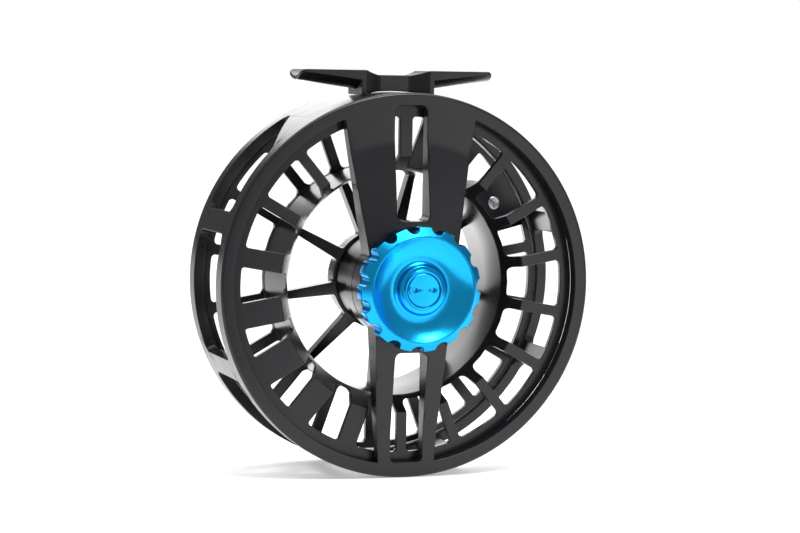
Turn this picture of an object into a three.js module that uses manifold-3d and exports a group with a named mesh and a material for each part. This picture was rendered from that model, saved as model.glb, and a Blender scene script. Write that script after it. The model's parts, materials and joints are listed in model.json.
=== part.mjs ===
// Large-arbor fly reel: an open ported frame on a rod foot, a spoked spool with a crank handle,
// and a conical drag behind a one-way roller clutch. Millimetres, +Z up.
// The pieces are drawn about the spin axis, which runs along Y: x and z lie across it, y = 0 is
// the front face of the frame, and y grows towards the handle. The whole reel is then moved so
// that the origin is the middle of the foot's concave seat.
import * as THREE from "three";
import { mergeVertices } from "three/addons/utils/BufferGeometryUtils.js";
import Module from "manifold-3d";

const wasm = await Module();
wasm.setup();

// Driving dimensions.

// frame: a front ring, a bridge with a drag boss, and a cage band with a back ring
const frameRadius = 57;
const frameWidth = 39.4;
const bandWall = 2.8;
const backRingWall = 3.3;
const faceRingWidth = 4;
const faceThickness = 3.9;
const edgeChamfer = 0.6;
const frontStrip = 6.7;
const backStrip = 6.1;
const windowCorner = 2.5;
const strutAngles = [19, -26, -71]; // from +X on the right side, mirrored on the left
const strutWidth = 6.9;
const shoulderFrontAngle = 45; // the top windows end on a slant: here at the front
const shoulderBackAngle = 62; // and here at the back

// bridge: two tapered arms, given by their half widths near the boss and at the ring
const bridgeRise = 4.3;
const bridgeTaperWidth = 13;
const armRootHeight = 10;
const upperArmRoot = 13.7;
const upperArmTip = 20.7;
const lowerArmRoot = 11.6;
const lowerArmTip = 8.8;
const slotWidth = 10;
const slotCorner = 1.8;
const slotInset = 2.9;
const upperSlotMargin = 3.7;
const lowerSlotMargin = 4.5;
const bossRadius = 16.5;
const bossBack = 10;
const bossWall = 2.3;
const dragBore = 8;

// spool
const barCount = 18;
const firstBar = 10;
const plainBar = 3.2;
const backBar = 3.2;
const balanceBars = new Map([ // wide bars opposite the handle balance it
  [90, 4], [150, 3.6], [170, 5.8], [190, 7.6], [210, 9.4], [230, 7.6], [250, 5.8],
]);
const rimWidth = 3.4;
const backRimWidth = 1.8;
const portCorner = 1.6;
const portStep = 0.2; // how far outside the arbor the ports start
const frontFlangeWall = 1.9;
const flangeStep = 3.2;
const flangeStepDepth = 7.2;
const arborRadius = 34.8;
const arborWall = 1.8;
const backFlangeInset = 4.6;
const backFlangeWall = 2.2;
const padHalfAngle = 10.5;
const spokeCount = 9;
const firstSpoke = 30;
const spokeRoot = 3.8;
const spokeTip = 1.9;
const spokeInset = 8.8; // from the back flange to the spokes' front at the hub
const spokeDepth = 4.4;
const spokeDish = 6; // the spokes run back by this much from the hub to the arbor
const spoolHubWall = 1.7;

// handle
const handleAngle = 30;
const handleInset = 7.9;
const studRadius = 2.05;
const studJournal = 2;
const studShoulder = 3;
const bushWall = 0.85;
const bushLength = 4;
const handleLength = 21;
const handleBase = 4.7;
const handleWaist = 4.3;
const handleHead = 6.2;

// drag knob
const knobStandOff = 1.2;
const knobThickness = 8.5;
const knobRadius = 18.3;
const knobRimWidth = 2.8;
const knobChamferDepth = 2.4;
const dishDepth = 4.4;
const knobBossRadius = 7;
const notchCount = 15;
const firstNotch = 3;
const notchRadius = 2;
const notchDepth = 1.7;
const capRadius = 5;
const capThickness = 1.5;
const spannerHole = 0.55;
const spannerSpacing = 5.5;
const knobShaft = 2.9;
const clipWidth = 1.7;
const clipThickness = 0.7;
const clickCircle = 11;
const clickBall = 1.2;
const sealWire = 0.42;

// drag train, clutch and spindle
const screwThread = 2.2;
const nutThickness = 3;
const nutLugWidth = 4;
const nutLugHeight = 1.3;
const springWire = 0.45;
const springTurns = 4;
const springLength = 4.8;
const plateThickness = 1.2;
const pinRadius = 0.9;
const pinCount = 3;
const spindleRadius = 4.7;
const flangeWall = 2;
const screwHead = 1.8;
const screwShank = 1.1;
const screwHeadHeight = 1.2;
const coneLength = 6.8;
const coneLarge = 8.4;
const coneSmall = 7;
const rotorWall = 0.7;
const rollerRadius = 0.75;
const rollerLength = 4;
const rollerCount = 8;
const hubRadius = 12.6;
const hubWall = 1.2;
const keyCount = 3;
const keyWidth = 3;
const keyHeight = 0.8;
const outerRaceWall = 1.85;
const bearingWidth = 3;
const ballRadius = 1.4;
const ballCount = 9;
const capFlangeWall = 1.8;

// foot
const footLength = 60.4;
const footWidth = 14;
const footHeight = 4.6;
const seatRadius = 13.25;
const seatFacets = 36;
const undersideRadius = 11;
const footTipWall = 1.3;
const footRootWall = 3.7;
const footCorner = 2;
const waistWidth = 7.2;
const waistHalfLength = 4.9;
const waistFlare = 9.8;
const riserHalfLength = 11.4;
const footScrewSpacing = 16;
const footScrewRadius = 1.5;
const footScrewHead = 2.9;

// clearances, and how many sides a large round has
const pieceGap = 0.3;
const fitGap = 0.15;
const spoolClearance = 0.7;
const rimClearance = 0.3;
const bigRound = 48;

// Sizes that follow from the ones above.
const bandInner = frameRadius - bandWall;
const ringInner = frameRadius - faceRingWidth;
const bossFace = -bridgeRise;
const boreFloor = bossFace + bossWall;
const spoolRadius = frameRadius - backRingWall - rimClearance;
const frontFlangeFace = faceThickness + spoolClearance;
const flangeStepRadius = arborRadius + flangeStep;
const portInner = arborRadius + portStep;
const backPortOuter = spoolRadius - backRimWidth;
const arborInner = arborRadius - arborWall;
const arborFront = frontFlangeFace + flangeStepDepth;
const backFlangeFace = frameWidth - backFlangeInset;
const handleRadius = spoolRadius - handleInset;
const knobBack = bossFace - knobStandOff;
const knobFront = knobBack - knobThickness;
const dishRadius = knobRadius - knobRimWidth;
const flangeFront = bossBack + fitGap;
const flangeBack = flangeFront + flangeWall;
const springRadius = (screwThread + dragBore) / 2 + 0.8;
const plateFront = nutThickness + springLength + 2 * fitGap;
const plateBack = plateFront + plateThickness;
const pinCircle = spindleRadius + pinRadius + 0.6;
const coneFront = flangeBack + screwHeadHeight + 1.85;
const coneBack = coneFront + coneLength;
const hubBore = hubRadius - hubWall;
const rollerCircle = hubBore - rollerRadius - 0.25;
const rotorRadius = rollerCircle - rollerRadius - 0.25;
const screwCircle = hubRadius - fitGap - screwHead;
const hubFront = flangeBack + 2.05;
const hubBack = frameWidth - 4.2;
const spoolHubFront = hubFront + 1;
const spoolHubBore = hubRadius + pieceGap;
const spoolHubRadius = spoolHubBore + spoolHubWall;
const spindleFlange = hubRadius + 1.4;
const spindleEnd = hubBack - 2.2;
const outerRaceOuter = hubBore - fitGap;
const outerRaceInner = outerRaceOuter - outerRaceWall;
const innerRaceOuter = outerRaceInner - 2 * (ballRadius + fitGap);
const bearingFronts = [coneBack + 1, spindleEnd - bearingWidth - 0.2];
const footMiddle = frameWidth / 2;
const seatHeight = frameRadius + footHeight;

// Materials.

const finish = (color, roughness, metalness) =>
  new THREE.MeshStandardMaterial({ color, roughness, metalness, flatShading: true });
const blackAnodised = finish(0x2b2a2e, 0.42, 0.85);
const blueAnodised = finish(0x0093e0, 0.3, 0.9);
const steel = finish(0xb9bcc0, 0.28, 1);
const brass = finish(0xc3a256, 0.35, 1);
const rubber = finish(0x1a1a1a, 0.8, 0);
const dragPolymer = finish(0x3a3d40, 0.6, 0);
const handlePolymer = finish(0x232326, 0.5, 0.1);

// Shape helpers.

const radians = THREE.MathUtils.degToRad;
const at = (radius, angle) =>
  [radius * Math.cos(radians(angle)), radius * Math.sin(radians(angle))];
const around = (count, first = 0) =>
  Array.from({ length: count }, (_, i) => first + (360 / count) * i);
const joined = (parts) => parts.reduce((whole, part) => whole.add(part));
const cut = (part, cutters) => cutters.reduce((rest, cutter) => rest.subtract(cutter), part);
const spun = (part, angle) => part.rotate([0, -angle, 0]);
const placed = (part, radius, angle) => {
  const [x, z] = at(radius, angle);
  return part.translate([x, 0, z]);
};

// A three.js geometry as a manifold-3d solid.
function solid(geometry) {
  const bare = geometry.index ? geometry.toNonIndexed() : geometry.clone();
  bare.deleteAttribute("normal");
  bare.deleteAttribute("uv");
  const merged = mergeVertices(bare, 1e-4);
  const corners = merged.index.array;
  const kept = [];
  for (let i = 0; i < corners.length; i += 3) {
    const [a, b, c] = corners.subarray(i, i + 3);
    if (a !== b && b !== c && c !== a) kept.push(a, b, c);
  }
  return new wasm.Manifold(new wasm.Mesh({
    numProp: 3,
    vertProperties: merged.attributes.position.array,
    triVerts: new Uint32Array(kept),
  }));
}

// A solid turned about the Y axis from a closed profile of [radius, y] corners.
function turned(profile, segments = 24) {
  const area = profile.reduce((sum, [r, y], i) => {
    const [nextR, nextY] = profile[(i + 1) % profile.length];
    return sum + r * nextY - nextR * y;
  }, 0);
  const ordered = area > 0 ? profile : [...profile].reverse();
  const points = [...ordered, ordered[0]].map(([r, y]) => new THREE.Vector2(r, y));
  return solid(new THREE.LatheGeometry(points, segments));
}

const rod = (radius, from, to, segments = 16) =>
  turned([[0, from], [radius, from], [radius, to], [0, to]], segments);
const tube = (inner, outer, from, to, segments = 24) =>
  turned([[inner, from], [outer, from], [outer, to], [inner, to]], segments);
const standing = (part) => part.rotate([90, 0, 0]); // turns Y to +Z

// An outline through [x, z] corners; [x, z, radius] rounds that corner off.
function outline(corners, arcSteps = 3) {
  const points = corners.flatMap(([x, z, radius = 0], i) => {
    const corner = new THREE.Vector2(x, z);
    if (!radius) return [corner];
    const [beforeX, beforeZ] = corners[(i + corners.length - 1) % corners.length];
    const [afterX, afterZ] = corners[(i + 1) % corners.length];
    const before = new THREE.Vector2(beforeX, beforeZ).sub(corner);
    const after = new THREE.Vector2(afterX, afterZ).sub(corner);
    const longest = Math.min(before.length(), after.length()) / 2.05;
    const half = Math.abs(before.angleTo(after)) / 2;
    const reach = Math.min(radius / Math.tan(half), longest);
    const start = corner.clone().addScaledVector(before.normalize(), reach);
    const end = corner.clone().addScaledVector(after.normalize(), reach);
    return new THREE.QuadraticBezierCurve(start, corner, end).getPoints(arcSteps);
  });
  return new THREE.Shape(points);
}

// A flat plate of an [x, z] outline, from y = front to y = back.
function plate(shape, front, back) {
  const geometry = new THREE.ExtrudeGeometry(shape, { depth: back - front, bevelEnabled: false });
  return solid(geometry.rotateX(Math.PI / 2).translate(0, back, 0));
}

const block = (x0, x1, z0, z1, front, back) =>
  plate(outline([[x0, z0], [x1, z0], [x1, z1], [x0, z1]]), front, back);

// A spring's wire: a helix about Y, swept from front to back.
class Helix extends THREE.Curve {
  constructor(radius, front, back, turns) {
    super();
    Object.assign(this, { radius, front, back, turns });
  }
  getPoint(t, target = new THREE.Vector3()) {
    const turn = 2 * Math.PI * this.turns * t;
    const y = this.front + (this.back - this.front) * t;
    return target.set(this.radius * Math.cos(turn), y, this.radius * Math.sin(turn));
  }
}

function coil(radius, wire, front, back, turns, sides, stepsPerTurn) {
  const section = new THREE.Shape(around(sides).map((a) => new THREE.Vector2(...at(wire, a))));
  const extrudePath = new Helix(radius, front + wire, back - wire, turns);
  return solid(new THREE.ExtrudeGeometry(section, { steps: turns * stepsPerTurn, extrudePath }));
}

// A ring cut open over an angle, such as a circlip.
function openRing(inner, outer, front, back, mouthAngle) {
  const mouth = outline([
    [0, 0], at(2 * outer, -mouthAngle / 2), at(2 * outer, mouthAngle / 2),
  ]);
  return tube(inner, outer, front, back, 24).subtract(plate(mouth, front - 1, back + 1));
}

const reel = new THREE.Group();
const assembly = new THREE.Group();
assembly.position.set(0, -footMiddle, -seatHeight);
reel.add(assembly);

function addPiece(name, part, material) {
  const { vertProperties, triVerts } = part.getMesh();
  const geometry = new THREE.BufferGeometry()
    .setAttribute("position", new THREE.BufferAttribute(vertProperties, 3))
    .setIndex(new THREE.BufferAttribute(triVerts, 1));
  geometry.computeVertexNormals();
  const mesh = new THREE.Mesh(geometry, material);
  mesh.name = name;
  assembly.add(mesh);
}

// Frame.

// A cutter through the cage band: [angle, y] corners on the unrolled band, bent round the axis.
function bandCutter(corners) {
  const inner = frameRadius * 0.86;
  const outer = frameRadius * 1.16;
  const longestStep = 7.5;
  const unrolled = corners.map(([angle, y]) => [-radians(angle) * frameRadius, y, windowCorner]);
  const rounded = outline(unrolled).getPoints();
  const fine = rounded.flatMap((point, i) => {
    const next = rounded[(i + 1) % rounded.length];
    const steps = Math.max(1, Math.round(Math.abs(next.x - point.x) / longestStep));
    return Array.from({ length: steps }, (_, k) => point.clone().lerp(next, k / steps));
  });
  const geometry = new THREE.ExtrudeGeometry(new THREE.Shape(fine), {
    depth: 1, bevelEnabled: false,
  });
  const places = geometry.attributes.position;
  for (let i = 0; i < places.count; i++) {
    const angle = -places.getX(i) / frameRadius;
    const radius = inner + (outer - inner) * places.getZ(i);
    places.setXYZ(i, radius * Math.cos(angle), places.getY(i), radius * Math.sin(angle));
  }
  return solid(geometry);
}

function cageWindows() {
  const front = frontStrip;
  const back = frameWidth - backStrip;
  const halfStrut = THREE.MathUtils.radToDeg(strutWidth / 2 / frameRadius);
  const [upper, middle, lower] = strutAngles;
  const right = [
    [[upper + halfStrut, front], [shoulderFrontAngle, front],
      [shoulderBackAngle, back], [upper + halfStrut, back]],
    ...[[middle, upper], [lower, middle]].map(([from, to]) => [
      [from + halfStrut, front], [to - halfStrut, front],
      [to - halfStrut, back], [from + halfStrut, back],
    ]),
  ];
  const left = right.map((corners) => corners.map(([angle, y]) => [180 - angle, y]));
  const bottom = [
    [-180 - lower + halfStrut, front], [lower - halfStrut, front],
    [lower - halfStrut, back], [-180 - lower + halfStrut, back],
  ];
  return [...right, ...left, bottom].map(bandCutter);
}

const footScrewPlaces = [["foot_screw_left", -footScrewSpacing / 2],
  ["foot_screw_right", footScrewSpacing / 2]];
const footScrewStart = bandInner - 0.3;
const footScrewNeck = footScrewStart + footScrewHead - footScrewRadius;
const footScrewEnd = seatHeight - 1.6;

function addFrame() {
  const armEnd = frameRadius - 5;
  const flat = frameRadius - bridgeTaperWidth;
  const overlap = ringInner + 1.5;
  const dome = turned([
    [0, bossFace], [bossRadius, bossFace], [flat, 0], [overlap, 0],
    [overlap, faceThickness], [0, faceThickness],
  ], bigRound);
  const arm = (root, tip, side) => plate(outline([
    [-root, side * armRootHeight], [root, side * armRootHeight],
    [tip, side * armEnd], [tip, side * frameRadius],
    [-tip, side * frameRadius], [-tip, side * armEnd],
  ]), bossFace - 1, faceThickness).intersect(dome);
  const slot = (from, to) => plate(outline([
    [-slotWidth / 2, from, slotCorner], [slotWidth / 2, from, slotCorner],
    [slotWidth / 2, to, slotCorner], [-slotWidth / 2, to, slotCorner],
  ]), bossFace - 1, faceThickness + 1);
  const slotStart = bossRadius + slotInset;
  const ring = turned([
    [ringInner, 0], [frameRadius - edgeChamfer, 0], [frameRadius, edgeChamfer],
    [frameRadius, faceThickness], [ringInner, faceThickness],
  ], bigRound);
  const screwHole = rod(screwShank + fitGap, bossBack - 3.8, bossBack + 1, 12);
  const keyway = nutLugWidth / 2 + fitGap;
  const keywayReach = dragBore + nutLugHeight + fitGap;
  addPiece("frame_face", cut(joined([
    ring, arm(upperArmRoot, upperArmTip, 1), arm(lowerArmRoot, lowerArmTip, -1),
    rod(bossRadius, bossFace, bossBack, 32),
  ]), [
    slot(slotStart, frameRadius - upperSlotMargin),
    slot(-slotStart, -frameRadius + lowerSlotMargin),
    rod(dragBore, boreFloor, bossBack + 1, 24),
    block(-keywayReach, keywayReach, -keyway, keyway, boreFloor, bossBack + 1),
    rod(knobShaft + pieceGap, bossFace - 1, boreFloor + 1),
    placed(rod(clickBall + 0.25, bossFace - 1, bossFace + 6.8, 16), clickCircle, -90),
    ...around(3, 90).map((angle) => placed(screwHole, screwCircle, angle)),
  ]), blackAnodised);

  const cageFront = faceThickness + pieceGap;
  const backRingFront = frameWidth - backStrip;
  const countersink = standing(turned([
    [0, footScrewStart - 2], [footScrewHead + fitGap, footScrewStart - 2],
    [footScrewHead + fitGap, footScrewStart + fitGap],
    [footScrewRadius + fitGap, footScrewNeck + fitGap],
    [footScrewRadius + fitGap, frameRadius + 2], [0, frameRadius + 2],
  ], 24));
  addPiece("frame_cage", cut(turned([
    [bandInner, cageFront], [frameRadius, cageFront], [frameRadius, frameWidth - edgeChamfer],
    [frameRadius - edgeChamfer, frameWidth], [frameRadius - backRingWall, frameWidth],
    [frameRadius - backRingWall, backRingFront], [bandInner, backRingFront],
  ], bigRound), [
    ...cageWindows(),
    ...footScrewPlaces.map(([, x]) => countersink.translate([x, footMiddle, 0])),
  ]), blackAnodised);
}

// Foot: two wings with a round underside that rises towards their tips, on a waisted riser.
function addFoot() {
  const flat = Math.cos(Math.PI / seatFacets);
  const halfLength = footLength / 2;
  const alongX = (radius, length, height, slope) =>
    rod(radius, 0, length, seatFacets).rotate([0, 180 / seatFacets, 0]).rotate([0, -slope, -90])
      .translate([0, footMiddle, height + radius * flat]);
  const seat = alongX(seatRadius, footLength + 4, seatHeight, 0).translate([-halfLength - 2, 0, 0]);
  const rise = (footRootWall - footTipWall) / (halfLength - riserHalfLength);
  const middleWall = footRootWall + rise * riserHalfLength;
  const wing = alongX(
    undersideRadius, halfLength + 3, seatHeight - middleWall, THREE.MathUtils.radToDeg(Math.atan(rise)),
  );
  const wings = wing.add(wing.rotate([0, 0, 180]).translate([0, 2 * footMiddle, 0]));
  const halfWidth = footWidth / 2;
  const halfWaist = waistWidth / 2;
  const right = [
    [waistHalfLength, -halfWaist], [waistFlare, -halfWidth], [halfLength, -halfWidth, footCorner],
    [halfLength, halfWidth, footCorner], [waistFlare, halfWidth], [waistHalfLength, halfWaist],
  ];
  const left = right.map(([x, z, radius]) => [-x, -z, radius]);
  const floor = frameRadius - 8;
  const roof = seatHeight + 2.05;
  const plan = standing(plate(outline([...right, ...left], 4), floor, roof))
    .translate([0, footMiddle, 0]);
  const riser = block(
    -riserHalfLength, riserHalfLength, floor, seatHeight + 1,
    footMiddle - halfWidth, footMiddle + halfWidth,
  );
  const band = rod(frameRadius + pieceGap, -1, frameWidth + 1, bigRound);
  const screwHole = standing(rod(footScrewRadius + fitGap, floor, footScrewEnd + 0.3));
  addPiece("reel_foot", cut(wings.add(riser).intersect(plan), [
    seat, band, ...footScrewPlaces.map(([, x]) => screwHole.translate([x, footMiddle, 0])),
  ]), blackAnodised);

  const screw = standing(turned([
    [0, footScrewStart], [footScrewHead, footScrewStart], [footScrewRadius, footScrewNeck],
    [footScrewRadius, footScrewEnd], [0, footScrewEnd],
  ], 24));
  const socket = standing(rod(1.1, footScrewStart - 1, footScrewStart + 1, 6));
  for (const [name, x] of footScrewPlaces)
    addPiece(name, screw.subtract(socket).translate([x, footMiddle, 0]), steel);
}

// Spool.

// A port between two parallel-sided radial bars, from radius inner to radius outer.
function port(inner, outer, fromAngle, toAngle, fromBar, toBar, front, back) {
  const lean = (bar, radius) => THREE.MathUtils.radToDeg(Math.asin(bar / 2 / radius));
  const arc = (radius, steps) => {
    const start = fromAngle + lean(fromBar, radius);
    const sweep = toAngle - lean(toBar, radius) - start;
    return Array.from({ length: steps + 1 }, (_, i) => {
      const corner = i === 0 || i === steps ? portCorner : 0;
      return [...at(radius, start + (sweep * i) / steps), corner];
    });
  };
  return plate(outline([...arc(outer, 3), ...arc(inner, 1).reverse()], 2), front, back);
}

function ports(inner, outer, barWidth, front, back, kept = () => true) {
  const pitch = 360 / barCount;
  return around(barCount, firstBar).filter(kept).map((angle) => port(
    inner, outer, angle, angle + pitch, barWidth(angle), barWidth((angle + pitch) % 360),
    front, back,
  ));
}

function addSpool() {
  const front = frontFlangeFace;
  const flangeBackFace = front + frontFlangeWall;
  const frontBar = (angle) => balanceBars.get(angle) ?? plainBar;
  addPiece("spool_front_flange", cut(turned([
    [arborInner, arborFront], [flangeStepRadius, front], [spoolRadius, front],
    [spoolRadius, flangeBackFace], [flangeStepRadius + 1, flangeBackFace],
    [arborRadius + 0.4, arborFront],
  ], bigRound), ports(
    portInner, spoolRadius - rimWidth, frontBar, front - 1, arborFront + 1,
  )), blackAnodised);

  addPiece("spool_arbor", tube(
    arborInner, arborRadius, arborFront + pieceGap, backFlangeFace - pieceGap, bigRound,
  ), blackAnodised);

  const back = backFlangeFace + backFlangeWall;
  const overPad = (angle) => Math.abs(angle - handleAngle) <= 360 / barCount;
  const clearOfPad = ports(
    portInner, backPortOuter, () => backBar, backFlangeFace - 1, back + 1,
    (angle) => !overPad(angle),
  );
  const pitch = 360 / barCount;
  const padEdges = [
    [handleAngle - pitch, handleAngle - padHalfAngle], [handleAngle + padHalfAngle, handleAngle + pitch],
  ].map(([from, to]) => port(
    portInner, backPortOuter, from, to, from < handleAngle - padHalfAngle ? backBar : 0,
    to > handleAngle + padHalfAngle ? backBar : 0, backFlangeFace - 1, back + 1,
  ));
  addPiece("spool_back_flange", cut(
    tube(arborInner, spoolRadius, backFlangeFace, back, bigRound), [
      ...clearOfPad, ...padEdges,
      placed(rod(studRadius + fitGap, backFlangeFace - 1, back + 1), handleRadius, handleAngle),
    ]), blackAnodised);

  const spokeEnd = arborInner - pieceGap - 0.1;
  const slope = spokeDish / (spokeEnd - spoolHubRadius);
  const dished = new THREE.Matrix4().makeShear(slope, 0, 0, 0, 0, 0);
  const spoke = plate(outline([
    [spoolHubRadius - 0.8, -spokeRoot], [spoolHubRadius + 1.5, -spokeRoot / 2],
    [spokeEnd, -spokeTip / 2], [spokeEnd, spokeTip / 2],
    [spoolHubRadius + 1.5, spokeRoot / 2], [spoolHubRadius - 0.8, spokeRoot],
  ]), backFlangeFace - spokeInset, backFlangeFace - spokeInset + spokeDepth)
    .transform(dished.elements).translate([0, -slope * spoolHubRadius, 0]);
  const hubEnd = hubBack - 0.2;
  const keyReach = hubRadius + keyHeight + 0.25;
  const keyway = block(
    0, keyReach, -keyWidth / 2 - 0.25, keyWidth / 2 + 0.25, spoolHubFront - 1, hubEnd + 1,
  );
  addPiece("spool_spider", cut(joined([
    rod(spoolHubRadius, spoolHubFront, hubEnd, 24),
    ...around(spokeCount, firstSpoke).map((angle) => spun(spoke, angle)),
  ]), [
    rod(spoolHubBore, spoolHubFront - 1, hubEnd + 1, 24),
    ...around(keyCount).map((angle) => spun(keyway, angle)),
  ]), blackAnodised);
}

// Handle: the knob turns on two bushes over a stud that is riveted into the back flange.
function addHandle() {
  const add = (name, part, material) =>
    addPiece(name, placed(part, handleRadius, handleAngle), material);
  const flangeBackFace = backFlangeFace + backFlangeWall;
  const shoulderBack = flangeBackFace + 1.3;
  const start = shoulderBack + pieceGap;
  const end = start + handleLength;
  const journalEnd = end - 1.9;
  const bushInner = studJournal + fitGap;
  const bushOuter = bushInner + bushWall;
  add("handle_stud", turned([
    [0, backFlangeFace - 0.2], [studRadius, backFlangeFace - 0.2],
    [studRadius, flangeBackFace + fitGap], [studShoulder, flangeBackFace + fitGap],
    [studShoulder, shoulderBack], [studJournal, shoulderBack], [studJournal, journalEnd],
    [0.95, journalEnd], [0.95, journalEnd - 7], [0, journalEnd - 7],
  ], 16), steel);
  add("handle_bush_front", tube(bushInner, bushOuter, start, start + bushLength, 24), brass);
  add("handle_bush_rear",
    tube(bushInner, bushOuter, journalEnd - bushLength, journalEnd, 24), brass);
  add("handle_end_screw", turned([
    [0, journalEnd - 6.5], [0.8, journalEnd - 6.5], [0.8, journalEnd + fitGap],
    [bushOuter - 0.2, journalEnd + fitGap], [bushOuter - 0.2, journalEnd + 1.1],
    [0, journalEnd + 1.1],
  ], 24).subtract(block(-4, 4, -0.3, 0.3, journalEnd + 0.7, journalEnd + 2)), steel);
  const bore = bushOuter + fitGap;
  const shape = new THREE.SplineCurve([
    [handleBase, start + 0.7], [handleWaist, start + 0.3 * handleLength],
    [handleHead - 0.5, start + 0.68 * handleLength], [handleHead, start + 0.85 * handleLength],
    [handleHead - 0.8, end - 0.6],
  ].map(([r, y]) => new THREE.Vector2(r, y))).getPoints(7);
  add("handle_knob", turned([
    [bore, start], [handleBase - 0.7, start], ...shape.map(({ x, y }) => [x, y]),
    [handleHead - 1.6, end], [bore, end],
  ], 24), handlePolymer);
}

// Drag knob, its screw and its click.
function addKnob() {
  const bore = knobShaft + fitGap;
  const recess = capRadius + fitGap;
  const capFloor = knobFront + capThickness + fitGap;
  const dishFloor = knobFront + dishDepth;
  const groove = [clickCircle - 1.6, clickCircle + 1.6];
  const ballCentre = bossFace - 0.7;
  const grooveFloor = ballCentre - clickBall - pieceGap;
  const step = knobBossRadius - 1.2;
  const dish = new THREE.SplineCurve([
    [knobBossRadius + 0.3, dishFloor - 0.9], [knobBossRadius + 1.6, dishFloor],
    [dishRadius - 4.2, dishFloor - 0.6], [dishRadius - 1.6, dishFloor - 2.4],
    [dishRadius - 0.4, knobFront + 0.25],
  ].map(([r, y]) => new THREE.Vector2(r, y))).getPoints(5);
  const body = turned([
    [bore, knobBack], [bore, capFloor], [recess, capFloor], [recess, knobFront + 0.1],
    [step, knobFront + 0.1], [step, knobFront + 0.9], [knobBossRadius, knobFront + 1.1],
    ...dish.map(({ x, y }) => [x, y]),
    [dishRadius, knobFront], [dishRadius + 0.4, knobFront + 0.2],
    [knobRadius, knobFront + knobChamferDepth], [knobRadius, knobBack - 1.9],
    [knobRadius - 0.7, knobBack],
    [groove[1], knobBack], [groove[1], grooveFloor], [groove[0], grooveFloor],
    [groove[0], knobBack],
  ], 40);
  const notch = rod(notchRadius, knobFront - 1, knobBack + 1, 12);
  const notchCircle = knobRadius + notchRadius - notchDepth;
  const detent = rod(clickBall, grooveFloor - 0.7, grooveFloor + 0.5, 6);
  addPiece("drag_knob", cut(body, [
    ...around(notchCount, firstNotch).map((angle) => placed(notch, notchCircle, angle)),
    ...around(notchCount, -90).map((angle) => placed(detent, clickCircle, angle)),
  ]), blueAnodised);

  const pinHole = rod(spannerHole, knobFront - 1, knobFront + 1, 10);
  addPiece("knob_cap", cut(rod(capRadius, knobFront, knobFront + capThickness, 48), [
    placed(pinHole, spannerSpacing / 2, 0), placed(pinHole, spannerSpacing / 2, 180),
  ]), blueAnodised);

  const clipFront = boreFloor + pieceGap;
  const clipBack = clipFront + clipThickness;
  const clipSeat = knobShaft - 0.5;
  addPiece("knob_screw", turned([
    [0, capFloor + 0.1], [knobShaft, capFloor + 0.1], [knobShaft, clipFront - 0.1],
    [clipSeat, clipFront - 0.1], [clipSeat, clipBack + 0.1], [knobShaft, clipBack + 0.1],
    [knobShaft, -0.6], [screwThread, -0.6], [screwThread, nutThickness + 2.5],
    [0, nutThickness + 2.5],
  ], 16), steel);
  addPiece("knob_circlip", openRing(
    clipSeat + fitGap, knobShaft + clipWidth, clipFront, clipBack, 70,
  ), steel);
  addPiece("knob_seal_ring", solid(
    new THREE.TorusGeometry(knobShaft + 1.2, sealWire, 6, 20).rotateX(Math.PI / 2),
  ).translate([0, (knobBack + bossFace) / 2, 0]), rubber);

  const ball = solid(new THREE.SphereGeometry(clickBall, 12, 8)).translate([0, ballCentre, 0]);
  addPiece("click_ball", placed(ball, clickCircle, -90), steel);
  addPiece("click_spring", placed(coil(
    0.85, 0.2, ballCentre + clickBall + 0.1, bossFace + 6.6, 4, 5, 8,
  ), clickCircle, -90), steel);
}

// Drag train: nut, spring, plate and pins in the boss, cone and rotor behind the spindle flange.
function addDragTrain() {
  const outer = dragBore - 0.4;
  const lugReach = dragBore + nutLugHeight;
  const lugs = block(-lugReach, lugReach, -nutLugWidth / 2, nutLugWidth / 2, 0, nutThickness);
  addPiece("drag_nut", cut(rod(outer, 0, nutThickness, 24).add(lugs), [
    rod(screwThread + fitGap, -1, nutThickness + 1),
  ]), brass);
  addPiece("drag_spring", coil(
    springRadius, springWire, nutThickness + fitGap, nutThickness + springLength,
    springTurns, 6, 10,
  ), steel);
  addPiece("pressure_plate",
    tube(screwThread + 0.4, outer, plateFront, plateBack, 24), steel);
  const pin = rod(pinRadius, plateBack + fitGap, coneFront - fitGap, 12);
  around(pinCount, 30).forEach((angle, i) =>
    addPiece(`push_pin_${i + 1}`, placed(pin, pinCircle, angle), steel));

  const coneBore = spindleRadius + fitGap;
  addPiece("drag_cone", turned([
    [coneBore, coneFront], [coneLarge, coneFront], [coneSmall, coneBack], [coneBore, coneBack],
  ], 24), dragPolymer);
  const shift = 0.2;
  addPiece("drag_rotor", turned([
    [coneLarge + fitGap, coneFront + shift], [rotorRadius, coneFront + shift],
    [rotorRadius, coneBack + shift], [coneSmall + fitGap, coneBack + shift],
  ], 24), steel);
}

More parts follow.
